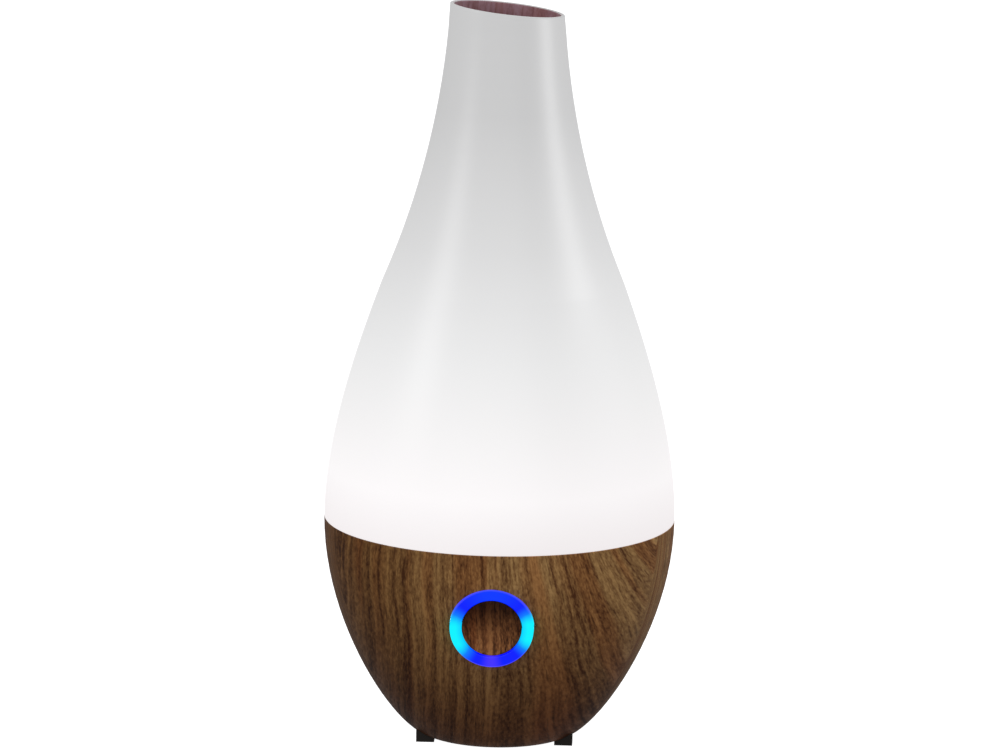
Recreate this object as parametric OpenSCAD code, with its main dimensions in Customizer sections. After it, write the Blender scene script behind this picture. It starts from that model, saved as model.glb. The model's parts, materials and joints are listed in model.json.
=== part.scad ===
// Cool mist humidifier: a lift-off water tank with a slanted mouth, standing on a round-bottomed base.
// Millimetres. The origin is on the table, on the body's axis; +Z is up and the control button faces -Y.

/* [Body] */
// Largest radius, at the seam between base and tank
body_r = 87.5; // [87:0.1:88.5]
// Height of the seam above the table
seam_z = 111; // [110.5:0.1:112]
// Radius of the base's flat underside
base_r = 38; // [37.5:0.1:39]
// Height of the flat underside above the table
floor_gap = 2; // [1.8:0.1:2.2]
// Wall thickness of the base bowl
bowl_wall = 2.5; // [2.2:0.1:2.6]
// Wall thickness of the tank up to its waist
tank_wall = 1.8; // [1.6:0.1:1.9]
// Wall thickness of the tank at its mouth
rim_wall = 1.2; // [1:0.1:1.2]
// Radius where the tank's outline changes from convex to concave
waist_r = 60.3; // [59.5:0.1:61]
// Height of that place
waist_z = 228.9; // [226:0.1:232]
// Radius of the tank at its mouth
mouth_r = 28.1; // [28:0.1:29]
// Height of the mouth on the axis
mouth_z = 365.3; // [363:0.1:368]
// Fall of the mouth's cut towards +X, in degrees
mouth_slope = 5.8; // [3:0.1:7]
// Gap at the seam between tank and base
seam_gap = 0.2; // [0.1:0.05:0.4]

/* [Mist path] */
// Inner radius of the mist tube
tube_r = 19.5; // [19:0.1:19.6]
// Wall thickness of the mist tube
tube_wall = 1.5; // [1.3:0.1:1.6]
// Outer radius of the nozzle that lifts out of the mouth
nozzle_r = 26.3; // [26:0.1:26.3]
// Wall thickness of the nozzle at its rim
nozzle_wall = 1.5; // [1.3:0.1:1.8]
// Radius of the nozzle's throat
throat_r = 17.5; // [16:0.5:18]
// Depth of the nozzle's rim below the tank's rim
nozzle_drop = 0.2; // [0:0.1:0.5]

/* [Tank] */
// Height of the tank floor's underside
tank_floor_z = 118; // [117.5:0.1:119]
// Thickness of the tank's floor and roof
plate_t = 3; // [2.5:0.1:3]
// Height of the tank roof's underside
tank_roof_z = 330; // [328:0.5:330]
// Distance of the filling neck from the axis
neck_x = 46; // [45.5:0.1:46.5]
// Inner radius of the filling neck
neck_r = 18; // [17.8:0.1:18]
// Travel of the valve from open to closed
valve_travel = 3.5; // [3:0.1:3.5]

/* [Base] */
// Radius of the basin
basin_r = 56; // [55.5:0.1:56]
// Height of the basin's floor
basin_z = 94.5; // [94.3:0.1:94.7]
// Height of the deck's top around the basin
deck_z = 105.5; // [105.3:0.1:105.7]
// Thickness of the deck
deck_t = 2.5; // [2.3:0.1:2.5]
// Radius of the transducer well
well_r = 17; // [16.8:0.1:17]
// Radius of the air opening under the base
intake_r = 30; // [29.8:0.1:30]

/* [Fan] */
// Distance of the fan's axis from the body's axis
fan_x = 42; // [41.8:0.1:42.3]
// Height of the fan's underside
fan_z = 68; // [67:0.1:68]
// Side of the fan's square frame
fan_side = 50; // [49:0.1:50]
// Number of blades
blade_count = 7; // [5:1:9]

/* [Control button] */
// Outer radius of the light ring
ring_r = 20.3; // [20:0.1:20.5]
// Radius of the opening in the light ring
ring_inner_r = 14.85; // [14.6:0.05:15]
// Tilt of the button's face below the horizontal, in degrees
ring_tilt = 10; // [9:0.5:11]
// Distance of the button's centre from the axis
ring_y = 82.5; // [82.3:0.1:82.7]
// Height of the button's centre
ring_z = 74.3; // [74:0.1:74.6]
// Height of the light ring's face above the bowl at its centre
ring_proud = 0.9; // [0.8:0.1:1.2]
// Depth of the dish in the button cap
dish_depth = 2.4; // [1.5:0.1:2.8]
// Travel of the button
button_travel = 0.8; // [0.5:0.1:0.8]

/* [Feet and socket] */
// Side of each square foot
foot_side = 9; // [8:0.5:10]
// Sideways distance of the front feet from the axis
foot_x = 34.5; // [34:0.1:35]
// Distance of the front feet ahead of the axis
foot_y = 20; // [19:0.1:21]
// Height of the power socket's centre
socket_z = 36; // [35:0.5:37]

/* [Hidden] */
$fn = 96;
curve_steps = 24;
clear = 0.3;
sliver = 0.01;

// Outline of the bowl, from the flat underside to the seam, as one cubic curve
bowl_curve = [
    [base_r, floor_gap],
    [base_r + 12.5, floor_gap + 1.5],
    [body_r, seam_z - 55.5],
    [body_r, seam_z]
];
// Outline of the tank: a convex curve up to the waist, then a concave one to the mouth
waist_lean = [-13.7, 37.4];
mouth_lean = [-4.4, 75.9];
tank_lower_curve = [
    [body_r, seam_z],
    [body_r, seam_z + 38],
    [waist_r, waist_z] - waist_lean,
    [waist_r, waist_z]
];
tank_upper_curve = [
    [waist_r, waist_z],
    [waist_r, waist_z] + 0.228 * waist_lean,
    [mouth_r, mouth_z] - mouth_lean,
    [mouth_r, mouth_z]
];

tube_outer_r = tube_r + tube_wall;
tube_bottom_z = 107;
tube_top_z = tank_roof_z + 10;
nozzle_bottom_z = tank_roof_z + plate_t + 0.5;
throat_z = tube_top_z + 1;
funnel_h = 11;

neck_outer_r = neck_r + 2.5;
neck_bottom_z = 108.3;
cap_r = neck_outer_r + 2.5;
cap_plate_z = 104.5;
cap_plate_t = 2.5;
cap_top_z = 116.8;
gasket_t = 1;
stem_r = 2;
stem_bore_r = stem_r + 0.35;
seal_r = 8.6;
seal_t = 1.6;
seal_z = cap_plate_z + cap_plate_t + clear + valve_travel;
flange_t = 1.5;
flange_r = 5;
bridge_z = 122;
bridge_t = 2;
bridge_r = 12.5;
spring_r = 3.7;
spring_wire_r = 0.4;
spring_turns = 4;

cover_r = 36.6;
cover_t = 2;
cover_screw_r = 34;
slot_reach = 27;
filter_r = 28;
filter_t = 4;

ledge_r = 79;
boss_bottom_z = 88;
deck_bottom_z = basin_z - deck_t;
deck_r = 84.2;
locating_h = 9.5;
locating_wall = 1.8;
pocket_r = 27;
basin_wall_t = 2;
well_wall = 2;
well_floor_z = 86.5;
well_bottom_z = well_floor_z - deck_t;
transducer_r = 10;
transducer_hole_r = 8.8;
retainer_r = 15.5;
retainer_z = 78.5;
transducer_screw_r = 13.5;
transducer_gasket_r = 11.5;
disc_z = retainer_z + 3.6;
disc_t = 1.2;
chimney_r = 11;
chimney_wall = 2;
chimney_top_z = 112;
valve_pin_r = 2.5;
valve_pin_z = cap_plate_z - 1;
float_y = 42;
float_post_r = 2;
float_r = 9;
float_z = basin_z + 0.5;
float_h = 7.6;
float_lift = 8;
clip_z = float_z + float_h + float_lift + 0.4;
lens_y = 42;
lens_r = 7;
deck_screw_r = 79;
boss_r = 4.5;

board_z = 62;
board_t = 1.6;
board_size = [60, 56];
board_x = 24;
board_hole = [27, 25];
board_hole_depth = 7.4;

fan_h = 15;
fan_bore_r = 22;
fan_hole = 20.5;
stator_r = 9.6;
hub_r = 12;
shaft_r = 1.5;
shaft_clearance = 0.04;
bearing_r = 3.2;
post_r = 4.5;

cap_skirt_r = ring_inner_r - clear;
ring_back = -9;
led_board_s = -12.4;
plunger_top = -8.9;
switch_top = plunger_top - button_travel - 0.4;
plunger_bottom = led_board_s + button_travel + 0.5;
housing_back = -17;
led_count = 12;
led_circle_r = 18.6;

socket_floor_y = 58;
jack_front_y = 50;
jack_back_y = 46;
socket_r = 8;
jack_r = 5.4;

// ---------- curves and shared shapes ----------

function bezier(p, t) =
    pow(1 - t, 3) * p[0] + 3 * pow(1 - t, 2) * t * p[1] + 3 * (1 - t) * t * t * p[2] + pow(t, 3) * p[3];
function bezier_slope(p, t) =
    (1 - t) * (1 - t) * (p[1] - p[0]) + 2 * (1 - t) * t * (p[2] - p[1]) + t * t * (p[3] - p[2]);
function inward(d) = [-d[1], d[0]] / norm(d);
// Points along a curve, moved inward by wall at its start and by end_wall at its end;
// first is 1 where the curve continues another one
function outline(p, wall = 0, end_wall = 0, first = 0) =
    [
        for (i = [first:curve_steps])
            let (t = i / curve_steps)
            bezier(p, t) + (wall + (end_wall - wall) * t) * inward(bezier_slope(p, t))
    ];
function tank_outline(wall = 0, end_wall = 0) = concat(
    outline(tank_lower_curve, wall, wall),
    outline(tank_upper_curve, wall, end_wall, 1),
    [bezier(tank_upper_curve, 1) + 0.1 * mouth_lean + end_wall * inward(mouth_lean)]
);
function last(list) = list[len(list) - 1];
// Arc from angle a to angle b around a centre
function arc(centre, r, a, b, steps = 6) =
    [for (i = [0:steps]) centre + r * [cos(a + (b - a) * i / steps), sin(a + (b - a) * i / steps)]];

// Closed solid of revolution under an outline that runs upwards
module revolve_under(points) {
    rotate_extrude()
        polygon(concat([[0, points[0][1]]], points, [[0, last(points)[1]]]));
}

module ring(r_out, r_in, h, z = 0) {
    translate([0, 0, z])
        difference() {
            cylinder(r = r_out, h = h);
            translate([0, 0, -1])
                cylinder(r = r_in, h = h + 2);
        }
}

module at_each(points) {
    for (p = points)
        translate(p)
            children();
}

module around(count, r, start = 0) {
    for (i = [0:count - 1])
        rotate([0, 0, start + i * 360 / count])
            translate([r, 0, 0])
                children();
}

// Everything below the slanted plane that cuts the mouth, lowered by drop
module below_mouth(drop = 0) {
    translate([0, 0, mouth_z - drop])
        rotate([0, mouth_slope, 0])
            translate([-200, -200, -400])
                cube([400, 400, 400]);
}

module bowl_outer_solid() {
    revolve_under(outline(bowl_curve));
}

module bowl_inner_solid() {
    revolve_under(outline(bowl_curve, bowl_wall, bowl_wall));
}

module tank_inner_solid() {
    revolve_under(tank_outline(tank_wall, rim_wall));
}

// Places its children on the button's axis: z = 0 on the bowl's surface, +Z out of the face
module on_button_axis() {
    translate([0, -ring_y, ring_z])
        rotate([90 + ring_tilt, 0, 0])
            children();
}

// A pan-head screw that points down: the head's underside is at z = 0
module screw(shank_r, length, head_r, head_h) {
    translate([0, 0, -length])
        cylinder(r = shank_r, h = length, $fn = 32);
    difference() {
        cylinder(r = head_r, h = head_h, $fn = 32);
        for (a = [0, 90])
            rotate([0, 0, a])
                translate([-head_r * 0.6, -0.3, head_h * 0.45])
                    cube([head_r * 1.2, 0.6, head_h]);
    }
}

// Round tube swept along a list of points
function ring_at(p, d, r, sides, ref) =
    let (t = d / norm(d), u = cross(t, ref) / norm(cross(t, ref)), v = cross(t, u))
    [for (k = [0:sides - 1]) p + r * (cos(360 * k / sides) * u + sin(360 * k / sides) * v)];

module tube_along(path, r, sides = 8, ref = [0, 0, 1]) {
    n = len(path);
    points = [
        for (i = [0:n - 1])
            each ring_at(path[i], path[min(i + 1, n - 1)] - path[max(i - 1, 0)], r, sides, ref)
    ];
    walls = [
        for (i = [0:n - 2], k = [0:sides - 1])
            let (next = (k + 1) % sides)
            [i * sides + k, (i + 1) * sides + k, (i + 1) * sides + next, i * sides + next]
    ];
    start_cap = [[for (k = [0:sides - 1]) k]];
    end_cap = [[for (k = [sides - 1:-1:0]) (n - 1) * sides + k]];
    polyhedron(points = points, faces = concat(start_cap, walls, end_cap), convexity = 4);
}

// ---------- base: housing ----------

module jack_cup_outer() {
    along_socket(socket_floor_y - 4)
        cylinder(r = socket_r + 2, h = 40);
}

module wood_bowl() {
    color("saddlebrown")
        difference() {
            union() {
                difference() {
                    bowl_outer_solid();
                    bowl_inner_solid();
                    translate([0, 0, seam_z - sliver])
                        cylinder(r = body_r - bowl_wall, h = 1);
                }
                // Ledge and bosses that carry the deck
                intersection() {
                    bowl_inner_solid();
                    union() {
                        ring(body_r, ledge_r, 2.5, deck_z - 5);
                        around(4, deck_screw_r, 45)
                            translate([0, 0, boss_bottom_z])
                                cylinder(r = boss_r, h = deck_z - deck_t - boss_bottom_z);
                    }
                }
                // Cup around the power socket
                intersection() {
                    bowl_outer_solid();
                    jack_cup_outer();
                }
            }
            translate([0, 0, floor_gap - 1])
                cylinder(r = intake_r, h = bowl_wall + 2);
            around(3, cover_screw_r, 30)
                cover_screw_hole();
            around(4, deck_screw_r, 45)
                translate([0, 0, deck_z - 12.5])
                    cylinder(r = 1.5, h = 12, $fn = 32);
            on_button_axis()
                translate([0, 0, -14])
                    cylinder(r = ring_r + 0.2, h = 24);
            along_socket(socket_floor_y)
                cylinder(r = socket_r, h = 40);
            along_socket(jack_front_y)
                cylinder(r = jack_r, h = 12);
        }
}

module cover_screw_hole() {
    translate([0, 0, floor_gap - sliver])
        cylinder(r1 = 3.05, r2 = 1.25, h = 1.8, $fn = 32);
    translate([0, 0, floor_gap + 1])
        cylinder(r = 1.25, h = 9, $fn = 32);
}

module bottom_cover() {
    z = floor_gap + bowl_wall;
    color("dimgray")
        difference() {
            union() {
                translate([0, 0, z])
                    cylinder(r = cover_r, h = cover_t);
                around(3, cover_screw_r, 30)
                    translate([0, 0, z])
                        cylinder(r = 2.5, h = 6.5);
            }
            around(3, cover_screw_r, 30)
                cover_screw_hole();
            // Air slots
            for (x = [-24:6:24])
                translate([x - 1.25, -sqrt(slot_reach * slot_reach - x * x), z - 1])
                    cube([2.5, 2 * sqrt(slot_reach * slot_reach - x * x), cover_t + 2]);
        }
}

module cover_screws() {
    color("silver")
        around(3, cover_screw_r, 30) {
            difference() {
                translate([0, 0, floor_gap + 0.2])
                    cylinder(r1 = 2.8, r2 = 1.25, h = 1.55, $fn = 32);
                for (a = [0, 90])
                    translate([0, 0, floor_gap])
                        rotate([0, 0, a])
                            translate([-1.6, -0.3, 0])
                                cube([3.2, 0.6, 0.9]);
            }
            translate([0, 0, floor_gap + 1.75])
                cylinder(r = 1.25, h = 8, $fn = 32);
        }
}

module feet() {
    color([0.08, 0.08, 0.08])
        difference() {
            at_each([[-foot_x, -foot_y, 0], [foot_x, -foot_y, 0], [0, norm([foot_x, foot_y]), 0]])
                translate([-foot_side / 2, -foot_side / 2, 0])
                    cube([foot_side, foot_side, 12]);
            bowl_outer_solid();
            translate([0, 0, 10])
                cylinder(r = body_r, h = 5);
        }
}

module intake_filter() {
    color("lightgray")
        translate([0, 0, floor_gap + bowl_wall + cover_t])
            cylinder(r = filter_r, h = filter_t);
}

// ---------- base: deck and basin ----------

// Column with the outline of the basin and of its pocket around the valve pin
module basin_column(grow, z, h) {
    translate([0, 0, z])
        cylinder(r = basin_r + grow, h = h);
    translate([neck_x, 0, z])
        cylinder(r = pocket_r + grow, h = h);
}

// Flat plate around the basin
module deck() {
    color("whitesmoke")
        difference() {
            translate([0, 0, deck_z - deck_t])
                cylinder(r = deck_r, h = deck_t);
            basin_column(basin_wall_t, deck_z - deck_t - 1, deck_t + 2);
            around(4, deck_screw_r, 45)
                translate([0, 0, deck_z - deck_t - 1])
                    cylinder(r = 1.7, h = deck_t + 2, $fn = 32);
        }
}

module basin_wall() {
    depth = deck_z - basin_z;
    color("whitesmoke")
        difference() {
            basin_column(basin_wall_t, basin_z, depth);
            basin_column(0, basin_z - 1, depth + 2);
        }
}

module basin_floor() {
    color("whitesmoke")
        difference() {
            basin_column(basin_wall_t, deck_bottom_z, deck_t);
            translate([0, 0, deck_bottom_z - 1])
                cylinder(r = well_r, h = deck_t + 2);
            translate([-fan_x, 0, deck_bottom_z - 1])
                cylinder(r = chimney_r, h = deck_t + 2);
            translate([0, -lens_y, deck_bottom_z - 1])
                cylinder(r = lens_r, h = deck_t + 2);
        }
}

// Cup under the basin that holds water over the ultrasonic disc
module transducer_well() {
    color("whitesmoke")
        difference() {
            translate([0, 0, well_bottom_z])
                cylinder(r = well_r + well_wall, h = deck_bottom_z - well_bottom_z);
            translate([0, 0, well_floor_z])
                cylinder(r = well_r, h = 20);
            translate([0, 0, well_bottom_z - 1])
                cylinder(r = transducer_hole_r, h = 5);
            around(3, transducer_screw_r)
                translate([0, 0, well_bottom_z - 1])
                    cylinder(r = 1.2, h = 2.6, $fn = 32);
        }
}

module air_chimney() {
    color("whitesmoke")
        translate([-fan_x, 0, 0])
            ring(chimney_r + chimney_wall, chimney_r, chimney_top_z - basin_z, basin_z);
}

// Pin that opens the tank's valve, and post that guides the float
module basin_posts() {
    color("whitesmoke") {
        translate([neck_x, 0, basin_z])
            cylinder(r = valve_pin_r, h = valve_pin_z - basin_z);
        translate([0, float_y, basin_z])
            cylinder(r = float_post_r, h = clip_z - basin_z, $fn = 32);
    }
}

// Ring on the deck that centres the tank
module locating_ring() {
    color("whitesmoke")
        ring(deck_r, deck_r - locating_wall, locating_h, deck_z);
}

module at_board_holes() {
    at_each([for (x = [-1, 1], y = [-1, 1]) [board_x + x * board_hole[0], y * board_hole[1], 0]])
        children();
}

module board_posts() {
    z = board_z + board_t;
    color("whitesmoke")
        difference() {
            at_board_holes()
                translate([0, 0, z])
                    cylinder(r = 3, h = deck_bottom_z - z, $fn = 48);
            at_board_holes()
                translate([0, 0, z - 1])
                    cylinder(r = 1.2, h = board_hole_depth + 1, $fn = 32);
        }
}

module deck_screws() {
    color("silver")
        around(4, deck_screw_r, 45)
            translate([0, 0, deck_z])
                screw(1.5, 12, 3, 2);
}

// ---------- base: mist transducer ----------

module transducer_disc() {
    color("goldenrod")
        translate([0, 0, disc_z])
            cylinder(r = transducer_r, h = disc_t);
}

module transducer_gasket() {
    color("darkorange")
        difference() {
            ring(transducer_gasket_r, transducer_hole_r, well_bottom_z - retainer_z - 3, retainer_z + 3);
            translate([0, 0, disc_z])
                cylinder(r = transducer_r, h = disc_t);
        }
}

module transducer_retainer() {
    color("silver")
        difference() {
            ring(retainer_r, 7.5, well_bottom_z - retainer_z, retainer_z);
            translate([0, 0, retainer_z + 3])
                cylinder(r = transducer_gasket_r, h = 10);
            around(3, transducer_screw_r)
                translate([0, 0, retainer_z - 1])
                    cylinder(r = 1.2, h = 10, $fn = 32);
        }
}

module transducer_screws() {
    color("silver")
        around(3, transducer_screw_r)
            translate([0, 0, retainer_z])
                rotate([180, 0, 0])
                    screw(1.2, 7, 2, 1.4);
}

// ---------- base: electronics ----------

module driver_board() {
    color("darkgreen")
        difference() {
            translate([board_x - board_size[0] / 2, -board_size[1] / 2, board_z])
                cube([board_size[0], board_size[1], board_t]);
            at_board_holes()
                translate([0, 0, board_z - 1])
                    cylinder(r = 1.3, h = 4, $fn = 32);
        }
}

module heat_sink() {
    z = board_z + board_t;
    color("silver") {
        translate([18, 6, z])
            cube([26, 14, 2.5]);
        for (i = [0:5])
            translate([18 + i * 4.9, 6, z + 2])
                cube([1.5, 14, 14]);
    }
}

module capacitors() {
    z = board_z + board_t;
    color("navy") {
        translate([44, -12, z])
            cylinder(r = 5, h = 14);
        translate([31, -10, z])
            cylinder(r = 4, h = 11);
    }
}

module inductor() {
    color("peru")
        translate([17, -14, board_z + board_t + 3])
            rotate_extrude()
                translate([4.5, 0])
                    circle(r = 3, $fn = 32);
}

module plug_headers() {
    z = board_z + board_t;
    color("ivory")
        at_each([[-3, -12, z], [-3, 4, z], [32, -26, z], [8, 19, z]])
            cube([5, 8, 6]);
}

module board_screws() {
    color("silver")
        at_board_holes()
            translate([0, 0, board_z])
                rotate([180, 0, 0])
                    screw(1.2, 8, 2.2, 1.5);
}

// Leads from the plugs on the driver board to the fan, the transducer, the light board, the ring board
// and the power socket, each as one cubic curve
lead_routes = [
    [[-0.5, -8, 69.9], [-0.5, -8, 78], [-8, -18, 74], [-16.8, -18, 74]],
    [[-0.5, 8, 69.9], [-0.5, 8, 77], [3, 2, 76], [3, 2, 82]],
    [[33.5, -20.5, 69.9], [33.5, -20.5, 84], [5, -42, 80], [5, -42, 88.7]],
    [[35.5, -24.5, 69.9], [35.5, -24.5, 80], [2, -58.8, 78.4], [2, -68.3, 76.6]],
    [[10.5, 23, 70.2], [10.5, 30, 88], [3, 30, 36.5], [3, 45.7, 36.5]]
];

module wiring() {
    color("firebrick")
        for (route = lead_routes)
            tube_along([for (i = [0:12]) bezier(route, i / 12)], 0.8, 8, [1, 0.2, 0.1]);
}

// ---------- base: fan ----------

module fan_frame() {
    color([0.15, 0.15, 0.15])
        translate([-fan_x, 0, fan_z])
            difference() {
                union() {
                    difference() {
                        translate([-fan_side / 2, -fan_side / 2, 0])
                            cube([fan_side, fan_side, fan_h]);
                        translate([0, 0, -1])
                            cylinder(r = fan_bore_r, h = fan_h + 2);
                        for (a = [0:90:270])
                            rotate([0, 0, a])
                                translate([fan_hole, fan_hole, -1])
                                    cylinder(r = 2, h = fan_h + 2, $fn = 32);
                    }
                    cylinder(r = hub_r - 1, h = 2);
                    for (a = [0, 90])
                        rotate([0, 0, a])
                            translate([-fan_bore_r - 1, -2, 0])
                                cube([2 * fan_bore_r + 2, 4, 2]);
                    cylinder(r = post_r, h = 10);
                }
                translate([0, 0, 2.2])
                    cylinder(r = bearing_r, h = 10);
            }
}

module fan_stator() {
    color("chocolate")
        translate([-fan_x, 0, fan_z])
            difference() {
                ring(stator_r, post_r, 6, 3.2);
                around(9, stator_r)
                    translate([-2.5, -0.7, 0])
                        cube([4, 1.4, 12]);
            }
}

module fan_bearing() {
    color("gold")
        translate([-fan_x, 0, fan_z])
            ring(bearing_r, shaft_r + shaft_clearance, 7.8, 2.2);
}

module fan_shaft() {
    color("silver")
        translate([-fan_x, 0, fan_z + 2.6])
            cylinder(r = shaft_r, h = 10.4);
}

module fan_rotor() {
    blade = fan_bore_r - hub_r + 0.5;
    color([0.2, 0.2, 0.22])
        translate([-fan_x, 0, fan_z])
            difference() {
                union() {
                    ring(hub_r, hub_r - 1.5, 11, 3);
                    translate([0, 0, 12])
                        cylinder(r = hub_r, h = 2);
                    translate([0, 0, 10.6])
                        cylinder(r = 3, h = 2);
                    intersection() {
                        around(blade_count, hub_r - 0.8)
                            translate([0, 0, 8.5])
                                rotate([38, 0, 0])
                                    translate([0, -7, -0.6])
                                        cube([blade, 14, 1.2]);
                        ring(fan_bore_r - 0.8, hub_r - 1, 11, 3);
                    }
                }
                translate([0, 0, 10])
                    cylinder(r = shaft_r, h = 3);
            }
}

module air_duct() {
    z = fan_z + fan_h;
    top = deck_bottom_z;
    color("gainsboro")
        translate([-fan_x, 0, 0])
            rotate_extrude()
                polygon([
                    [fan_bore_r - 1.4, z],
                    [fan_bore_r + 0.4, z],
                    [chimney_r + chimney_wall, top - 1],
                    [chimney_r + chimney_wall, top],
                    [chimney_r, top],
                    [chimney_r, top - 1.6]
                ]);
}

// ---------- base: water level float ----------

module float_ring() {
    color("white")
        translate([0, float_y, float_z])
            difference() {
                cylinder(r = float_r, h = float_h);
                translate([0, 0, -1])
                    cylinder(r = float_post_r + 0.4, h = float_h + 2);
                translate([0, 0, float_h - 2])
                    cylinder(r = 6, h = 3);
            }
}

module float_magnet() {
    color("dimgray")
        translate([0, float_y, 0])
            ring(6, 3, 2, float_z + float_h - 2);
}

module float_clip() {
    color("white")
        translate([0, float_y, clip_z])
            cylinder(r = 4, h = 1.6);
}

// ---------- base: lamp that lights the tank ----------

module light_lens() {
    color([0.9, 0.95, 1, 0.6])
        translate([0, -lens_y, 0]) {
            translate([0, 0, deck_bottom_z])
                cylinder(r = lens_r, h = deck_t);
            translate([0, 0, basin_z])
                cylinder(r = lens_r + 2, h = 1);
            intersection() {
                translate([0, 0, basin_z - 2.2])
                    sphere(r = 8);
                translate([0, 0, basin_z + 1])
                    cylinder(r = lens_r, h = 10);
            }
        }
}

module light_board() {
    color("darkgreen")
        translate([-9, -lens_y - 9, deck_bottom_z - 3])
            cube([18, 18, 1.2]);
}

module light_leds() {
    color("lightyellow")
        translate([0, -lens_y, deck_bottom_z - 1.8])
            around(3, 3.6)
                translate([-1.5, -1.5, 0])
                    cube([3, 3, 1.1]);
}

// ---------- base: control button ----------

module light_ring() {
    round_r = 0.9;
    color("blue")
        on_button_axis()
            rotate_extrude()
                polygon(concat(
                    [[ring_inner_r, ring_back], [ring_r, ring_back]],
                    arc([ring_r - round_r, ring_proud - round_r], round_r, 0, 90),
                    arc([ring_inner_r + round_r, ring_proud - round_r], round_r, 90, 180)
                ));
}

module button_housing() {
    color("whitesmoke")
        intersection() {
            bowl_inner_solid();
            on_button_axis()
                difference() {
                    translate([0, 0, housing_back])
                        cylinder(r = ring_r + 2.4, h = 30);
                    translate([0, 0, housing_back + 1.5])
                        cylinder(r = ring_r + 0.3, h = 40);
                    translate([0, 0, housing_back - 1])
                        cylinder(r = 5, h = 5);
                }
        }
}

module ring_board() {
    color("darkgreen")
        on_button_axis()
            translate([0, 0, led_board_s - 1.6])
                cylinder(r = ring_r, h = 1.6);
}

module ring_leds() {
    color("azure")
        on_button_axis()
            around(led_count, led_circle_r)
                translate([-1.2, -1.5, led_board_s])
                    cube([2.4, 3, 1.2]);
}

module button_switch() {
    color("black")
        on_button_axis()
            difference() {
                translate([-3, -3, led_board_s])
                    cube([6, 6, switch_top - led_board_s]);
                translate([0, 0, led_board_s + 0.4])
                    cylinder(r = 1.78, h = 5, $fn = 48);
            }
}

module switch_plunger() {
    color("ivory")
        on_button_axis()
            translate([0, 0, plunger_bottom])
                cylinder(r = 1.7, h = plunger_top - plunger_bottom, $fn = 48);
}

// The cap's face is a shallow spherical dish inside a narrow rim
module button_cap() {
    rim = ring_proud - 0.5;
    lip = 0.7;
    half_chord = cap_skirt_r - lip;
    dish_r = (half_chord * half_chord + dish_depth * dish_depth) / (2 * dish_depth);
    sweep = asin(half_chord / dish_r);
    wall = 1.6;
    color("sienna")
        on_button_axis() {
            rotate_extrude()
                polygon(concat(
                    arc([0, rim + dish_r - dish_depth], dish_r, 270, 270 + sweep, 12),
                    [
                        [cap_skirt_r, rim - 0.3],
                        [cap_skirt_r, ring_back - 0.4],
                        [cap_skirt_r + 1.6, ring_back - 0.4],
                        [cap_skirt_r + 1.6, ring_back - 1.8],
                        [cap_skirt_r - wall, ring_back - 1.8],
                        [cap_skirt_r - wall, rim - dish_depth - wall],
                        [0, rim - dish_depth - wall]
                    ]
                ));
            translate([0, 0, plunger_top])
                cylinder(r = 2.2, h = rim - dish_depth - wall - plunger_top + 0.5, $fn = 48);
        }
}

// ---------- base: power socket ----------

module along_socket(y) {
    translate([0, y, socket_z])
        rotate([-90, 0, 0])
            children();
}

module power_jack() {
    color("black")
        difference() {
            union() {
                along_socket(socket_floor_y)
                    cylinder(r = 7, h = 1.6);
                along_socket(jack_back_y)
                    cylinder(r = jack_r, h = 12.5);
            }
            along_socket(jack_front_y)
                cylinder(r = 3.15, h = 20);
        }
}

module jack_pin() {
    color("silver")
        along_socket(jack_front_y)
            cylinder(r = 1.05, h = 8.6, $fn = 32);
}

module jack_nut() {
    color("silver")
        difference() {
            along_socket(51.5)
                cylinder(r = 7.5, h = 2.5, $fn = 6);
            along_socket(jack_front_y)
                cylinder(r = jack_r, h = 6);
        }
}

// ---------- tank ----------

module tank_shell() {
    inside = tank_outline(tank_wall, rim_wall);
    color("white")
        intersection() {
            difference() {
                rotate_extrude()
                    polygon(concat(tank_outline(), [for (i = [len(inside) - 1:-1:0]) inside[i]]));
                cylinder(r = body_r + 1, h = seam_z + seam_gap);
            }
            below_mouth();
        }
}

module tank_floor() {
    color("white")
        difference() {
            intersection() {
                tank_inner_solid();
                translate([0, 0, tank_floor_z])
                    cylinder(r = body_r, h = plate_t);
            }
            at_neck(tank_floor_z - 1)
                cylinder(r = neck_r, h = plate_t + 2);
            translate([0, 0, tank_floor_z - 1])
                cylinder(r = tube_outer_r, h = plate_t + 2);
        }
}

module filling_neck() {
    color("white")
        at_neck()
            ring(neck_outer_r, neck_r, tank_floor_z - neck_bottom_z, neck_bottom_z);
}

module tank_roof() {
    color("white")
        difference() {
            intersection() {
                tank_inner_solid();
                translate([0, 0, tank_roof_z])
                    cylinder(r = body_r, h = plate_t);
            }
            translate([0, 0, tank_roof_z - 1])
                cylinder(r = tube_outer_r, h = plate_t + 2);
        }
}

module mist_tube() {
    color("white")
        ring(tube_outer_r, tube_r, tube_top_z - tube_bottom_z, tube_bottom_z);
}

module mist_nozzle() {
    inner_r = nozzle_r - nozzle_wall;
    color("rosybrown")
        intersection() {
            rotate_extrude()
                polygon(concat(
                    [
                        [tube_outer_r + 0.5, nozzle_bottom_z],
                        [nozzle_r, nozzle_bottom_z],
                        [nozzle_r, mouth_z + 6],
                        [inner_r, mouth_z + 6],
                        [inner_r, throat_z + funnel_h]
                    ],
                    [
                        for (i = [1:8])
                            [
                                throat_r + (inner_r - throat_r) * cos(90 * i / 8),
                                throat_z + funnel_h - (funnel_h - 1.5) * sin(90 * i / 8)
                            ]
                    ],
                    [
                        [throat_r, throat_z],
                        [tube_outer_r + 0.5, throat_z]
                    ]
                ));
            below_mouth(nozzle_drop);
        }
}

// ---------- tank: filling cap and valve ----------

module at_neck(z = 0) {
    translate([neck_x, 0, z])
        children();
}

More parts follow.
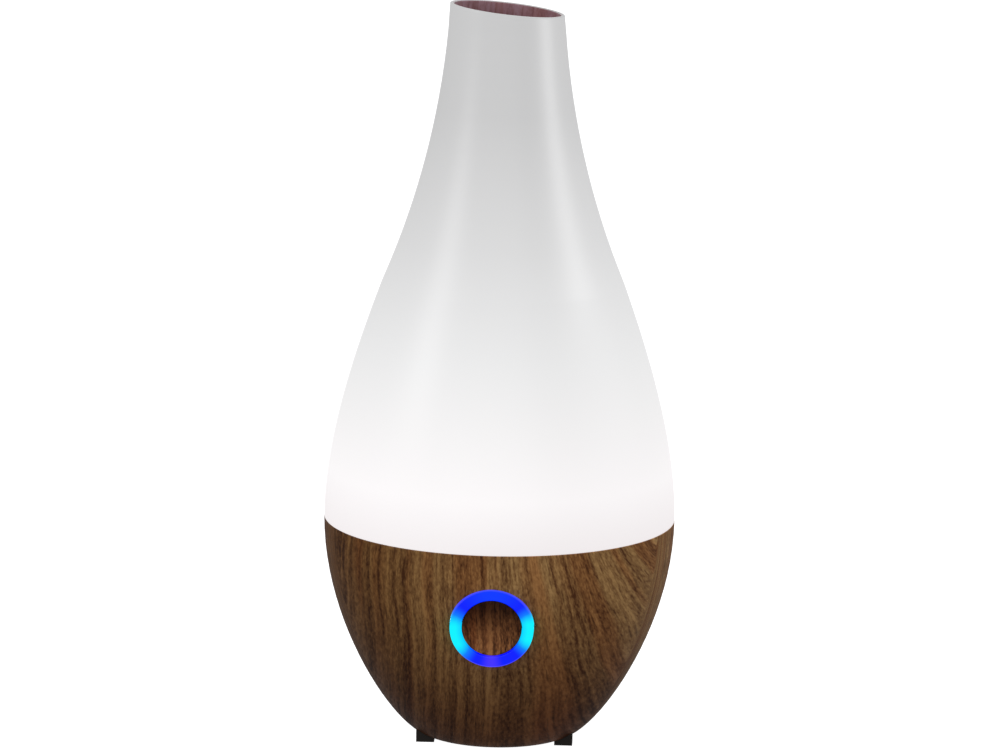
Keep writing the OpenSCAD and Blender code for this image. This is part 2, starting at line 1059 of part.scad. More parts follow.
module fill_cap() {
    plate_top = cap_plate_z + cap_plate_t;
    color("lightsteelblue")
        difference() {
            union() {
                at_neck()
                    ring(cap_r, neck_outer_r + 0.35, cap_top_z - plate_top + 1, plate_top - 1);
                at_neck(cap_plate_z)
                    cylinder(r = cap_r, h = cap_plate_t);
                at_neck(cap_plate_z)
                    around(24, cap_r)
                        cylinder(r = 0.9, h = cap_top_z - cap_plate_z - 1, $fn = 24);
                // Cage that holds the spring
                at_neck(plate_top - 1)
                    around(3, bridge_r - 2.5)
                        translate([0, -2, 0])
                            cube([2, 4, bridge_z - plate_top + 2]);
                at_neck(bridge_z)
                    cylinder(r = bridge_r, h = bridge_t);
            }
            at_neck(cap_plate_z - 1)
                cylinder(r = stem_bore_r, h = 30);
            at_neck(cap_plate_z - 1)
                around(6, 6, 30)
                    cylinder(r = 1.6, h = cap_plate_t + 2, $fn = 32);
            at_neck(bridge_z - 1)
                around(3, 8, 60)
                    cylinder(r = 2.5, h = 5, $fn = 48);
        }
}

module cap_gasket() {
    color("orangered")
        at_neck()
            ring(neck_outer_r, neck_r + 0.2, gasket_t, cap_plate_z + cap_plate_t);
}

module valve_plunger() {
    color("white")
        at_neck() {
            translate([0, 0, cap_plate_z - 0.5])
                cylinder(r = stem_r, h = 23);
            translate([0, 0, seal_z + seal_t])
                cylinder(r = flange_r, h = flange_t);
        }
}

module valve_seal() {
    color("orangered")
        at_neck()
            ring(seal_r, stem_r, seal_t, seal_z);
}

module valve_spring() {
    low = seal_z + seal_t + flange_t + spring_wire_r + 0.05;
    high = bridge_z - spring_wire_r - 0.05;
    steps = spring_turns * 16;
    color("silver")
        tube_along(
            [
                for (i = [0:steps])
                    [
                        neck_x + spring_r * cos(i * 360 / 16),
                        spring_r * sin(i * 360 / 16),
                        low + (high - low) * i / steps
                    ]
            ],
            spring_wire_r
        );
}

wood_bowl();
bottom_cover();
cover_screws();
feet();
intake_filter();
deck();
basin_wall();
basin_floor();
transducer_well();
air_chimney();
basin_posts();
board_posts();
locating_ring();
deck_screws();
transducer_disc();
transducer_gasket();
transducer_retainer();
transducer_screws();
driver_board();
heat_sink();
capacitors();
inductor();
plug_headers();
board_screws();
wiring();
fan_frame();
fan_stator();
fan_bearing();
fan_rotor();
fan_shaft();
air_duct();
float_ring();
float_magnet();
float_clip();
light_lens();
light_board();
light_leds();
light_ring();
button_housing();
ring_board();
ring_leds();
button_switch();
button_cap();
switch_plunger();
power_jack();
jack_pin();
jack_nut();
tank_shell();
tank_floor();
filling_neck();
tank_roof();
mist_tube();
mist_nozzle();
fill_cap();
cap_gasket();
valve_plunger();
valve_seal();
valve_spring();
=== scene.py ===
"""Looks of the cool mist humidifier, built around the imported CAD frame. Lengths are in metres."""

import json
import math

import bmesh
import bpy
from mathutils import Euler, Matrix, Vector


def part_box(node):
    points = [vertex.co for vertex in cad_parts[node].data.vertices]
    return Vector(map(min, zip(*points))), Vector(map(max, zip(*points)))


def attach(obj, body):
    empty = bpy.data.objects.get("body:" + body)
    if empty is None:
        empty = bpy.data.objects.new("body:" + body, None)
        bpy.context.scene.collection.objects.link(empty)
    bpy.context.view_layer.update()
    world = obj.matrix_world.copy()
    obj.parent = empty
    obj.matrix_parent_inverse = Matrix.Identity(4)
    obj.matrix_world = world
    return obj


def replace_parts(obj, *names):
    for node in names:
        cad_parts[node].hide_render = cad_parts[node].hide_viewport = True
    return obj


MM = 0.001
RIGHT = Vector((1, 0, 0))
REAR = Vector((0, 1, 0))
UP = Vector((0, 0, 1))

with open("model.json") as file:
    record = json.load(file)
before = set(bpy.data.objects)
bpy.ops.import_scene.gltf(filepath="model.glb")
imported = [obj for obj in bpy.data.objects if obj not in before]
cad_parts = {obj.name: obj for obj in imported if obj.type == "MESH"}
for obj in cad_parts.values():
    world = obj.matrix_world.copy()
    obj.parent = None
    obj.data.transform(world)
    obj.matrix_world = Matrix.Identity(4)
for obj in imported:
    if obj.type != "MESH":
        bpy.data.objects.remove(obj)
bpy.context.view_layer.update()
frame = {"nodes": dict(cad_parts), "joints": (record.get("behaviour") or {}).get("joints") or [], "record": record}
NODES = frame["nodes"]

PRESS = next(joint for joint in frame["joints"] if joint["name"] == "button_press")
BUTTON_AXIS = -Vector(PRESS["axis"]).normalized()
RING_LOW, RING_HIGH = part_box("light_ring")
RING_CENTRE = (RING_LOW + RING_HIGH) / 2
RING_OUTER = (RING_HIGH.x - RING_LOW.x) / 2
RING_INNER = 0.73 * RING_OUTER


# ---------------------------------------------------------------- camera


def look_camera():
    """The photographer's long lens: 2.15 m away, a little above the mouth, 11 degrees down."""
    distance, height = 2.145, 0.606
    azimuth, pitch, roll = math.radians(2.0), math.radians(11.16), math.radians(0.93)
    bearing = Vector((math.sin(azimuth), -math.cos(azimuth), 0))  # from the axis to the camera
    data = bpy.data.cameras.new("camera")
    data.lens, data.sensor_width = 158.5, 36.0
    data.shift_x = -0.0017
    data.clip_start, data.clip_end = 0.1, 50.0
    camera = bpy.data.objects.new("camera", data)
    camera.location = distance * bearing + height * UP
    aim = (math.cos(pitch) * bearing + math.sin(pitch) * UP).to_track_quat("Z", "Y")
    camera.rotation_euler = (aim @ Euler((0, 0, roll)).to_quaternion()).to_euler()
    bpy.context.scene.collection.objects.link(camera)
    bpy.context.scene.camera = camera


look_camera()


# ---------------------------------------------------------------- material kit


class Graph:
    """A material's node tree, with short calls for the nodes that repeat.

    Values are inputs of its shader by name, such as specular_ior_level.
    """

    def __init__(self, name, **values):
        self.material = bpy.data.materials.new(name)
        self.material.use_nodes = True
        self.tree = self.material.node_tree
        self.shader = self.tree.nodes["Principled BSDF"]
        for key, value in values.items():
            socket = key.replace("_", " ").title().replace("Ior", "IOR")
            self.shader.inputs[socket].default_value = value

    def node(self, kind, inputs=None, **settings):
        made = self.tree.nodes.new(kind)
        for key, value in settings.items():
            setattr(made, key, value)
        for key, value in (inputs or {}).items():
            self.feed(made.inputs[key], value)
        return made

    def feed(self, socket, value):
        if isinstance(value, bpy.types.NodeSocket):
            self.tree.links.new(value, socket)
        else:
            socket.default_value = value

    def math(self, operation, a, b=0.0):
        return self.node("ShaderNodeMath", {0: a, 1: b}, operation=operation).outputs[0]

    def place(self):
        """The point on the surface in the frame's own axes, which move with the piece."""
        return self.node("ShaderNodeTexCoord").outputs["Object"]

    def xyz(self, vector):
        parts = self.node("ShaderNodeSeparateXYZ", {0: vector})
        return parts.outputs[0], parts.outputs[1], parts.outputs[2]

    def vector(self, x, y, z):
        return self.node("ShaderNodeCombineXYZ", {0: x, 1: y, 2: z}).outputs[0]

    def scaled(self, vector, scale):
        return self.node("ShaderNodeMapping", {"Vector": vector, "Scale": scale}).outputs[0]

    def noise(self, vector, scale, detail=3.0, roughness=0.5):
        inputs = {"Vector": vector, "Scale": scale, "Detail": detail, "Roughness": roughness}
        return self.node("ShaderNodeTexNoise", inputs).outputs["Fac"]

    def ramp(self, factor, *stops):
        """A blend through stops of (position, colour), or of (position, number) for a grey."""
        made = self.node("ShaderNodeValToRGB", {0: factor})
        stored = made.color_ramp.elements
        while len(stored) < len(stops):
            stored.new(1.0)
        for element, (position, colour) in zip(stored, stops):
            element.position = position
            element.color = (*colour, 1.0) if isinstance(colour, tuple) else (colour,) * 3 + (1.0,)
        return made.outputs[0]

    def remap(self, value, low, high, to_low=0.0, to_high=1.0, smooth=False):
        inputs = {
            "Value": value,
            "From Min": low,
            "From Max": high,
            "To Min": to_low,
            "To Max": to_high,
        }
        kind = "SMOOTHSTEP" if smooth else "LINEAR"
        return self.node("ShaderNodeMapRange", inputs, interpolation_type=kind).outputs[0]

    def mix(self, factor, a, b, blend="MIX"):
        made = self.node("ShaderNodeMix", data_type="RGBA", blend_type=blend)
        for index, value in ((0, factor), (6, a), (7, b)):
            if isinstance(value, tuple) and len(value) == 3:
                value = (*value, 1.0)
            self.feed(made.inputs[index], value)
        return made.outputs[2]

    def bump(self, height, distance, strength):
        inputs = {"Height": height, "Distance": distance, "Strength": strength}
        self.set("Normal", self.node("ShaderNodeBump", inputs).outputs[0])

    def set(self, socket, value):
        self.feed(self.shader.inputs[socket], value)


def rgb(r, g, b):
    """Linear colour of an 8-bit display colour."""
    shares = [c / 255 for c in (r, g, b)]
    return tuple(((s + 0.055) / 1.055) ** 2.4 if s > 0.04045 else s / 12.92 for s in shares)


# ---------------------------------------------------------------- mesh kit

SAME = 0.02 * MM  # points closer than this are one
WELD = SAME / 4
SHARP = math.radians(20)  # outline corners over this are rounded, and bends under it are smoothed
CREASE = math.radians(35)  # faces that meet at more than this are shaded apart
REACH = math.radians(6)  # how far from the asked direction an outline is read
COLUMNS = 144  # vertices round a turned piece
STEPS = 3  # points on each span of a smoothed outline


def outline_of(node, centre, axis, facing, rim=None):
    """The outline that a turned CAD node was made from.

    Returns its (radius, height) points in order, and whether they are a loop. An outline that is
    no loop runs from the axis to the axis. It is read from the vertices that lie near the
    direction facing. Rim is the slope along X and the middle height of a slanted top: its vertices
    are brought to that height, so that the outline ends level.
    """
    mesh = bmesh.new()
    mesh.from_mesh(NODES[node].data)
    bmesh.ops.remove_doubles(mesh, verts=mesh.verts, dist=WELD)
    corners, corner_of = [], {}
    for v in mesh.verts:
        offset = v.co - centre
        height = offset.dot(axis)
        out = offset - height * axis
        if out.length > SAME and out.angle(facing) > REACH:
            continue
        if rim and abs(v.co.z - rim[0] * v.co.x - rim[1]) < 2 * SAME:
            height = rim[1]
        point = Vector((out.length, height))
        room = 8 * SAME if rim and height == rim[1] else SAME
        near = [i for i, c in enumerate(corners) if (c - point).length < room]
        if not near:
            corners.append(point)
            near = [len(corners) - 1]
        corner_of[v] = near[0]
    links = {i: set() for i in range(len(corners))}
    for e in mesh.edges:
        a, b = (corner_of.get(v) for v in e.verts)
        if a is not None and b is not None and a != b:
            links[a].add(b)
            links[b].add(a)
    mesh.free()
    loop = all(len(near) > 1 for near in links.values())
    start = 0 if loop else next(i for i in links if len(links[i]) == 1)
    path, here, before = [start], start, None
    while True:
        onward = sorted(i for i in links[here] if i != before and i not in path[1:])
        if not onward or onward[0] == start:
            break
        before, here = here, onward[0]
        path.append(here)
    points = [corners[i] for i in path]
    if not loop:
        points = [Vector((0, points[0].y)), *points, Vector((0, points[-1].y))]
    return points, loop


def bend(points, i):
    """How far an outline turns at its point i."""
    a = points[i] - points[i - 1]
    b = points[(i + 1) % len(points)] - points[i]
    return abs(a.angle(b))


def smoothed(run, steps):
    """Points through a run of outline points, on one smooth Catmull-Rom curve."""
    out = []
    for i in range(len(run) - 1):
        p0, p1, p2, p3 = run[max(i - 1, 0)], run[i], run[i + 1], run[min(i + 2, len(run) - 1)]
        for k in range(steps):
            t = k / steps
            square = (2 * p0 - 5 * p1 + 4 * p2 - p3) * t**2
            cube = (3 * p1 - p0 - 3 * p2 + p3) * t**3
            out.append(0.5 * (2 * p1 + (p2 - p0) * t + square + cube))
    return out


def eased(points, radius, closed=True):
    """An outline with its gentle bends made smooth and its sharp corners, at least one, rounded.

    A rounding takes no more than 45% of the side next to it, so that two roundings never meet.
    """
    count = len(points)
    ends = set() if closed else {0, count - 1}
    sharp = [i for i in range(count) if i in ends or bend(points, i) > SHARP]
    if closed:
        sharp.append(sharp[0] + count)
    dense = []
    for a, b in zip(sharp, sharp[1:]):
        run = [points[i % count] for i in range(a, b + 1)]
        dense += [(p, k == 0) for k, p in enumerate(smoothed(run, STEPS if len(run) > 2 else 1))]
    if not closed:
        dense.append((points[-1], True))
    out = []
    for i, (p, corner) in enumerate(dense):
        if not corner or (not closed and i in (0, len(dense) - 1)):
            out.append(p)
            continue
        back, ahead = dense[i - 1][0] - p, dense[(i + 1) % len(dense)][0] - p
        turn = math.pi - back.angle(ahead)
        cut = min(radius * math.tan(turn / 2), 0.45 * back.length, 0.45 * ahead.length)
        a, b = p + back.normalized() * cut, p + ahead.normalized() * cut
        out += [(1 - t) ** 2 * a + 2 * t * (1 - t) * p + t * t * b for t in (0, 0.25, 0.5, 0.75, 1)]
    return out


def finished(name, mesh, slot, body):
    """Turns a bmesh into a piece with its finish, riding on a body."""
    bmesh.ops.recalc_face_normals(mesh, faces=mesh.faces)
    for face in mesh.faces:
        face.smooth = True
    for edge in mesh.edges:
        if len(edge.link_faces) == 2 and edge.calc_face_angle() > CREASE:
            edge.smooth = False
    data = bpy.data.meshes.new(name)
    mesh.to_mesh(data)
    mesh.free()
    piece = bpy.data.objects.new(name, data)
    bpy.context.scene.collection.objects.link(piece)
    data.materials.append(finish_of(slot))
    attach(piece, body)
    return piece


def turned(outline, centre, axis, facing, closed=True, columns=COLUMNS):
    """A bmesh turned from an outline."""
    side = axis.cross(facing)
    mesh = bmesh.new()
    rings = []
    for radius, height in outline:
        middle = centre + height * axis
        if radius < SAME:
            rings.append([mesh.verts.new(middle)])
            continue
        angles = [2 * math.pi * k / columns for k in range(columns)]
        outwards = [math.cos(a) * facing + math.sin(a) * side for a in angles]
        rings.append([mesh.verts.new(middle + radius * out) for out in outwards])
    for a, b in list(zip(rings, rings[1:])) + ([(rings[-1], rings[0])] if closed else []):
        for k in range(columns):
            corners = [a[k % len(a)], a[(k + 1) % len(a)], b[(k + 1) % len(b)], b[k % len(b)]]
            unique = list(dict.fromkeys(corners))
            if len(unique) > 2:
                mesh.faces.new(unique)
    return mesh


def slant(mesh, slope, start):
    """Leans a mesh over above the height start, to a rim that rises by slope along X."""
    top = max(v.co.z for v in mesh.verts)
    for v in mesh.verts:
        share = max(0.0, (v.co.z - start) / (top - start))
        v.co.z += slope * v.co.x * share * share * (3 - 2 * share)


def rim_of(node):
    """Slope along X, and height on the axis, of the slanted face at the top of a node."""
    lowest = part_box(node)[1].z - 10 * MM
    faces = [f for f in NODES[node].data.polygons if f.normal.z > 0.9 and f.center.z > lowest]
    normal = sum((f.normal * f.area for f in faces), Vector())
    slope = -normal.x / normal.z
    heights = [f.center.z - slope * f.center.x for f in faces]
    return slope, sum(heights) / len(heights)


# ---------------------------------------------------------------- materials


def wood_print(name, light, middle, dark, lean=0.0, shade=None, painted_side_light=None, contrast=1.0):
    """Printed wood grain that runs down the body. On the +X side of it the lines lean outwards.

    Shade is painted shade: (height, other height, tint at the first one), which tints the colour most at the first
    height. The side tints are painted light and shade across X: (X, other X, tint, other tint).
    """
    g = Graph(name, specular_ior_level=0.08)
    place = g.place()
    x, y, z = g.xyz(place)
    fall = g.math("SUBTRACT", z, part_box("wood_bowl")[1].z)
    # On the +X side the lines fan out downwards: one that starts at x leans by lean times x
    spread = g.math("SUBTRACT", 1.0, g.math("MULTIPLY", fall, lean))
    fan = g.math("DIVIDE", g.math("MAXIMUM", x, 0.0), g.math("MAXIMUM", spread, 1.0))
    leaning = g.math("ADD", g.math("MINIMUM", x, 0.0), fan)
    # Front and back take their grain from X, the two sides from Y
    turn = g.math("ABSOLUTE", g.math("ARCTAN2", x, g.math("ABSOLUTE", y)))
    sideways = g.remap(turn, math.radians(64), math.radians(74), smooth=True)
    across = g.node("ShaderNodeMix", {0: sideways, 2: leaning, 3: y}, data_type="FLOAT").outputs[0]
    sway = g.math("SUBTRACT", g.noise(g.scaled(place, (0.5, 0.5, 1.0)), 20.0, 1.0), 0.5)
    line = g.math("ADD", across, g.math("MULTIPLY", sway, 9 * MM))

    def marks(width, length, detail, shift):
        """Noise around 0, whose marks are about width wide and length long, in millimetres."""
        spot = g.vector(line, shift, g.math("MULTIPLY", fall, width / length))
        return g.math("SUBTRACT", g.noise(spot, 1.0 / (width * MM), detail, 0.55), 0.5)

    tone = 0.5
    for weight, mark in (
        (1.1, marks(14, 300, 2.0, 0.0)),  # bands
        (1.1, marks(4, 160, 1.0, 0.3)),  # streaks
        (0.8, marks(1.3, 50, 1.0, 0.7)),  # fine lines
        (0.6, marks(1.7, 14, 1.0, 2.3)),  # short strokes
        (1.0, marks(0.7, 2.2, 1.0, 1.7)),  # specks
    ):
        tone = g.math("ADD", tone, g.math("MULTIPLY", mark, weight * contrast))
    colour = g.ramp(tone, (0.12, dark), (0.50, middle), (0.85, light))
    # Bands of redder and darker wood between the tan ones
    red = g.remap(marks(11, 260, 1.0, 3.1), -0.04, 0.10, smooth=True)
    colour = g.mix(g.math("MULTIPLY", red, contrast), colour, (0.84, 0.65, 0.56), "MULTIPLY")
    pores = g.ramp(marks(1.1, 14, 1.0, 1.1), (0.13, 0.0), (0.20, 0.5 * contrast))
    colour = g.mix(pores, colour, tuple(0.5 * c for c in dark))
    # Painted shade: towards the first height the colour is multiplied by the darker shade tint
    if shade:
        near, far, tint = shade
        colour = g.mix(g.remap(z, near, far, 1.0, 0.0, smooth=True), colour, tint, "MULTIPLY")
    # Painted light and shade: a tint that darkens one side and lightens the other across X
    if painted_side_light:
        left, right, left_painted_shade, right_painted_light = painted_side_light
        tint = g.mix(g.remap(x, left, right, smooth=True), left_painted_shade, right_painted_light)
        colour = g.mix(1.0, colour, tint, "MULTIPLY")
    g.set("Base Color", colour)
    g.set("Roughness", g.remap(tone, 0.2, 0.8, 0.56, 0.42))
    g.bump(tone, 0.04 * MM, 0.5)
    return g.material


def frosted_tank():
    """Frosted white, with painted light: an emission that is brightest near the seam and dims towards the mouth
    stands for the lamp in the base shining through and for the light the shell takes from the room.
    """
    g = Graph("frosted_tank", specular_ior_level=0.65)
    low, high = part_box("tank_shell")
    cloud = g.noise(g.scaled(g.place(), (1.0, 1.0, 0.2)), 30.0, 2.0)
    g.set("Base Color", g.mix(cloud, (0.40, 0.40, 0.405), (0.42, 0.42, 0.425)))
    # Painted glow: emission in place of the lamp's light through the shell and the room's light on it, brightest
    # near the seam
    painted_glow = g.ramp(
        g.remap(g.xyz(g.place())[2], low.z, high.z),
        (0.0, (0.66, 0.62, 0.625)),
        (0.10, (0.72, 0.695, 0.70)),
        (0.22, (0.635, 0.625, 0.625)),
        (0.34, (0.555, 0.555, 0.555)),
        (0.55, (0.42, 0.42, 0.42)),
        (0.80, (0.31, 0.31, 0.31)),
        (1.0, (0.31, 0.31, 0.31)),
    )
    g.set("Emission Color", painted_glow)
    g.set("Emission Strength", 1.0)
    frost = g.noise(g.place(), 2600.0, 2.0)
    g.set("Roughness", g.remap(frost, 0.3, 0.7, 0.36, 0.42))
    g.bump(frost, 0.01 * MM, 0.3)
    return g.material


def moulded(name, colour, roughness=0.5, grain=0.03, tone=0.06, scale=1200.0, level=0.4):
    """Moulded plastic or rubber: slight mottling and a spark-eroded grain, grain mm deep."""
    g = Graph(name, specular_ior_level=level)
    mottle = g.noise(g.place(), 60.0, 3.0)
    spark = g.noise(g.place(), scale, 3.0, 0.6)
    low = tuple(c * (1 - tone) for c in colour)
    high = tuple(min(1.0, c * (1 + tone)) for c in colour)
    g.set("Base Color", g.mix(mottle, low, high))
    g.set("Roughness", g.remap(mottle, 0.3, 0.7, roughness - 0.05, roughness + 0.06))
    g.bump(spark, grain * MM, 0.5)
    return g.material


def metal(name, colour, roughness=0.3, stretch=(1.0, 1.0, 12.0), scale=260.0):
    """Machined or plated metal with faint tool lines."""
    g = Graph(name, metallic=1.0)
    lines = g.noise(g.scaled(g.place(), stretch), scale, 3.0, 0.6)
    g.set("Base Color", g.mix(lines, tuple(c * 0.85 for c in colour), colour))
    g.set("Roughness", g.remap(lines, 0.3, 0.7, roughness - 0.07, roughness + 0.1))
    g.bump(lines, 0.03 * MM, 0.4)
    return g.material


def circuit_board():
    """Green solder mask over a grid of tracks."""
    g = Graph("circuit_board", roughness=0.35, specular_ior_level=0.5)
    grid = {"Vector": g.place(), "Scale": 300.0, "Mortar Size": 0.03}
    tracks = g.node("ShaderNodeTexBrick", grid).outputs["Fac"]
    mottle = g.noise(g.place(), 300.0, 2.0)
    solder_mask = g.mix(mottle, rgb(10, 84, 44), rgb(18, 104, 56))
    g.set("Base Color", g.mix(tracks, solder_mask, rgb(46, 140, 84)))
    g.bump(tracks, 0.02 * MM, 0.5)
    return g.material


def lamp(name, colour, strength):
    """A lit lens or chip."""
    g = Graph(name, roughness=0.3)
    g.set("Base Color", (*colour, 1.0))
    speckle = g.noise(g.place(), 900.0, 2.0)
    g.set("Emission Color", g.mix(speckle, tuple(c * 0.92 for c in colour), colour))
    g.set("Emission Strength", strength)
    return g.material


def foam():
    """Open-celled dark foam."""
    g = Graph("filter_foam", roughness=0.95, specular_ior_level=0.1)
    inputs = {"Vector": g.place(), "Scale": 900.0}
    cells = g.node("ShaderNodeTexVoronoi", inputs).outputs["Distance"]
    g.set("Base Color", g.ramp(cells, (0.15, (0.03, 0.03, 0.033)), (0.6, (0.22, 0.23, 0.24))))
    g.bump(cells, 0.4 * MM, 1.0)
    return g.material


def ring_light():
    """Lit light guide: blue, with a cyan lamp behind each side and some violet at the bottom."""
    g = Graph("ring_light", roughness=0.3, specular_ior_level=0.3)
    x, y, z = g.xyz(g.place())
    over = BUTTON_AXIS.cross(RIGHT)
    height = g.math(
        "ADD",
        g.math("MULTIPLY", g.math("SUBTRACT", y, RING_CENTRE.y), over.y),
        g.math("MULTIPLY", g.math("SUBTRACT", z, RING_CENTRE.z), over.z),
    )
    angle = g.math("MULTIPLY", g.math("ARCTAN2", height, g.math("ABSOLUTE", x)), 180 / math.pi)
    radius = g.math("SQRT", g.math("ADD", g.math("POWER", x, 2.0), g.math("POWER", height, 2.0)))
    outward = g.remap(radius, RING_INNER, RING_OUTER, 0.0, 1.0)
    right = g.math("GREATER_THAN", x, 0.0)
    # The hot spots sit just below the middle, and the left one reaches further down
    middle = g.remap(right, 0.0, 1.0, -13.0, -4.0)
    reach = g.remap(right, 0.0, 1.0, 44.0, 38.0)
    away = g.math("DIVIDE", g.math("ABSOLUTE", g.math("SUBTRACT", angle, middle)), reach)
    inner_dim = g.remap(outward, 0.0, 0.5, 0.80, 1.0)
    hot = g.math("MULTIPLY", g.remap(away, 0.30, 1.2, 1.0, 0.0, smooth=True), inner_dim)
    top = g.remap(angle, 30.0, 85.0, 0.0, 1.0, smooth=True)
    bottom = g.remap(angle, -70.0, -89.0, 0.0, 1.0, smooth=True)
    colour = g.mix(top, rgb(0, 16, 255), rgb(0, 52, 255))
    colour = g.mix(bottom, colour, rgb(66, 44, 250))
    colour = g.mix(g.ramp(hot, (0.0, 0.0), (0.5, 1.0)), colour, rgb(0, 130, 255))
    colour = g.mix(g.ramp(hot, (0.45, 0.0), (1.0, 1.0)), colour, rgb(0, 242, 255))
    edge = g.math("MULTIPLY", g.remap(outward, 0.90, 0.98), g.math("SUBTRACT", 1.0, hot))
    g.set("Base Color", (0.0, 0.01, 0.05, 1.0))
    g.set("Emission Color", g.mix(g.math("MULTIPLY", edge, 0.35), colour, rgb(110, 110, 255)))
    g.set("Emission Strength", 1.0)
    return g.material


EVEN = (1.0, 1.0, 1.0)  # tool lines stretched in no direction
MATERIALS = {
    "walnut_print": lambda: wood_print(
        "walnut_print",
        rgb(182, 143, 93),
        rgb(143, 107, 67),
        rgb(84, 51, 29),
        lean=7.5,
        # Painted shade: the bowl darkens towards the bottom
        shade=(0.0, 0.105, (0.28, 0.18, 0.145)),
        # Painted light and shade: the -X side darker and redder, the +X side lighter
        painted_side_light=(-0.080, 0.02, (0.52, 0.42, 0.32), (1.20, 1.19, 1.15)),
        contrast=0.85,
    ),
    "button_print": lambda: wood_print(
        "button_print",
        rgb(176, 120, 74),
        rgb(132, 84, 50),
        rgb(64, 34, 20),
        # Painted shade: the top of the button's dish is darker
        shade=(0.088, 0.062, (0.16, 0.12, 0.10)),
        contrast=1.1,
    ),
    "nozzle_print": lambda: wood_print(
        "nozzle_print", rgb(178, 146, 158), rgb(168, 130, 138), rgb(140, 98, 100), contrast=0.6
    ),
    "tank_white": frosted_tank,
    "ring_light": ring_light,
    "inner_white": lambda: moulded("inner_white", rgb(240, 241, 242), 0.42),
    "black_plastic": lambda: moulded("black_plastic", rgb(34, 34, 36), 0.45),
    "cover_plastic": lambda: moulded("cover_plastic", rgb(44, 42, 42), 0.6, 0.06),
    "foot_rubber": lambda: moulded("foot_rubber", rgb(30, 24, 20), 0.62, 0.05, 0.15, 1500.0, 0.3),
    "seal_silicone": lambda: moulded("seal_silicone", rgb(214, 120, 66), 0.5, level=0.3),
    "filter_foam": foam,
    "screw_steel": lambda: metal("screw_steel", (0.70, 0.71, 0.73), 0.28),
    "retainer_aluminium": lambda: metal("retainer_aluminium", (0.80, 0.81, 0.83), 0.32),
    "disc_ceramic": lambda: metal("disc_ceramic", (0.78, 0.70, 0.48), 0.25, EVEN),
    "board_green": circuit_board,
    "sink_aluminium": lambda: metal("sink_aluminium", (0.74, 0.75, 0.77), 0.4, (1.0, 12.0, 1.0)),
    "capacitor_sleeve": lambda: moulded("capacitor_sleeve", rgb(38, 44, 74), 0.35, 0.02),
    "coil_copper": lambda: metal("coil_copper", (0.72, 0.36, 0.18), 0.35, (1.0, 1.0, 20.0), 500.0),
    "header_ivory": lambda: moulded("header_ivory", rgb(232, 226, 206), 0.5),
    "wire_red": lambda: moulded("wire_red", rgb(150, 30, 26), 0.4, 0.02),
    "bearing_brass": lambda: metal("bearing_brass", (0.80, 0.62, 0.30), 0.4, EVEN, 900.0),
    "magnet_dark": lambda: moulded("magnet_dark", rgb(58, 58, 60), 0.55, 0.06),
    "lens_clear": lambda: lamp("lamp_lens", (1.0, 0.97, 0.93), 0.95),
    "led_yellow": lambda: lamp("led_chip", (1.0, 0.93, 0.72), 1.2),
    "cap_blue": lambda: moulded("cap_blue", rgb(176, 194, 210), 0.38),
    "spring_steel": lambda: metal("spring_steel", (0.76, 0.77, 0.79), 0.22, EVEN, 700.0),
}


made_materials = {}


def finish_of(slot):
    """The material of a slot in the record, made once."""
    if slot not in made_materials:
        made_materials[slot] = MATERIALS[slot]()
    return made_materials[slot]


# ---------------------------------------------------------------- turned pieces


def slanted_piece(name, node, slot, body, round_r, columns=COLUMNS):
    """A turned piece whose mouth is cut on a slant: the tank and the nozzle."""
    centre = Vector((0, 0, 0))
    slope, rim = rim_of(node)
    outline, _ = outline_of(node, centre, UP, REAR, rim=(slope, rim))
    mesh = turned(eased(outline, round_r), centre, UP, REAR, columns=columns)
    slant(mesh, slope, rim - 12 * MM)
    piece = finished(name, mesh, slot, body)
    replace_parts(piece, node)


def button_piece(name, node, slot, body, round_r):
    """A turned piece on the button's axis: the light guide and the button's dish."""
    outline, loop = outline_of(node, RING_CENTRE, BUTTON_AXIS, RIGHT)
    mesh = turned(eased(outline, round_r, loop), RING_CENTRE, BUTTON_AXIS, RIGHT, loop)
    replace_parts(finished(name, mesh, slot, body), node)


slanted_piece("tank_wall", "tank_shell", "tank_white", "tank", 0.9 * MM, 192)
slanted_piece("nozzle_funnel", "mist_nozzle", "nozzle_print", "nozzle", 0.6 * MM)
button_piece("ring_guide", "light_ring", "ring_light", "base", 0.5 * MM)
button_piece("button_dish", "button_cap", "button_print", "button", 0.3 * MM)


# ---------------------------------------------------------------- CAD nodes that stay


def soften(node, width):
    """Welds a CAD node's faces together and rounds its edges that bend by more than 38 degrees."""
    weld = NODES[node].modifiers.new("weld", "WELD")
    weld.merge_threshold = WELD
    bevel = NODES[node].modifiers.new("bevel", "BEVEL")
    bevel.width, bevel.segments = width, 2
    bevel.limit_method, bevel.angle_limit = "ANGLE", math.radians(38)
    bevel.harden_normals = True


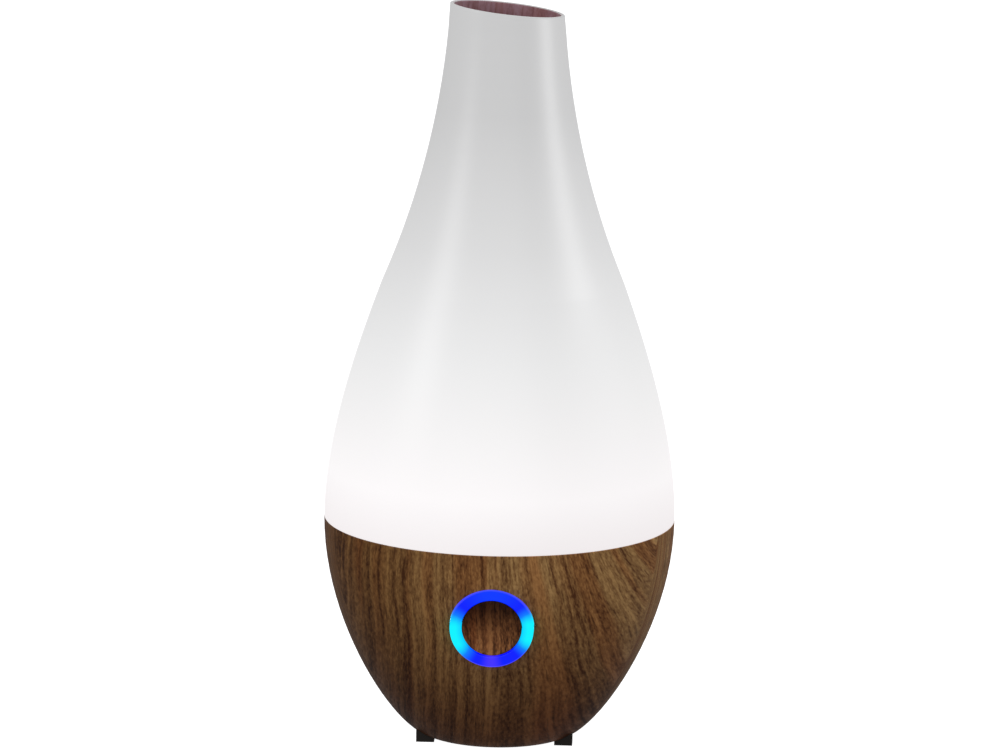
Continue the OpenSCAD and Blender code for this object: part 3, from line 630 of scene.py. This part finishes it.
ROUNDED = {
    0.5: "feet bottom_cover fan_frame fill_cap",
    0.4: "deck basin_wall basin_floor transducer_well air_chimney locating_ring",
    0.3: "tank_floor filling_neck mist_tube tank_roof button_housing valve_plunger",
}
for edge_width, names in ROUNDED.items():
    for node_name in names.split():
        soften(node_name, edge_width * MM)

for part in frame["record"]["subparts"]:
    materials = NODES[part["node"]].data.materials
    materials.clear()
    materials.append(finish_of(part["material_slot"]))


# ---------------------------------------------------------------- floor and light


def floor():
    """A white floor just under the feet, as bright as the photograph's background."""
    bpy.ops.mesh.primitive_plane_add(size=12, location=(0, 0, -0.2 * MM))
    plane = bpy.context.active_object
    plane.name = "floor"
    g = Graph("floor_white", roughness=0.9, specular_ior_level=0.0)
    g.set("Base Color", (0.8, 0.8, 0.8, 1.0))
    g.set("Emission Color", (1.0, 1.0, 1.0, 1.0))
    g.set("Emission Strength", 1.0)
    plane.data.materials.append(g.material)
    plane.visible_diffuse = False
    plane.visible_glossy = False


def softbox(name, location, size, power, target=(0, 0, 0.2)):
    """A rectangular light that faces target. Only what it lights shows, not the light itself."""
    data = bpy.data.lights.new(name, "AREA")
    data.shape = "RECTANGLE"
    data.size, data.size_y = size
    data.energy = power
    light = bpy.data.objects.new(name, data)
    light.location = location
    light.rotation_euler = (Vector(location) - Vector(target)).to_track_quat("Z", "Y").to_euler()
    light.visible_camera = False
    bpy.context.scene.collection.objects.link(light)


def studio():
    """Grey surroundings, a large light by the camera, and lights for the soft bands on the tank."""
    world = bpy.data.worlds.new("studio")
    world.use_nodes = True
    world.node_tree.nodes["Background"].inputs["Color"].default_value = (1.0, 1.0, 1.0, 1.0)
    world.node_tree.nodes["Background"].inputs["Strength"].default_value = 0.33
    bpy.context.scene.world = world
    bpy.context.scene.view_settings.view_transform = "Standard"
    softbox("key", (-0.25, -2.3, 1.25), (2.8, 2.0), 13)
    softbox("neck_light", (0.24, -0.05, 0.35), (0.10, 0.08), 0.115, target=(0, 0, 0.31))
    softbox("left_strip", (-1.14, -0.58, 0.88), (0.46, 0.72), 4.3)
    softbox("right_fill", (1.25, -0.10, 0.92), (1.3, 1.3), 2.0)


floor()
studio()
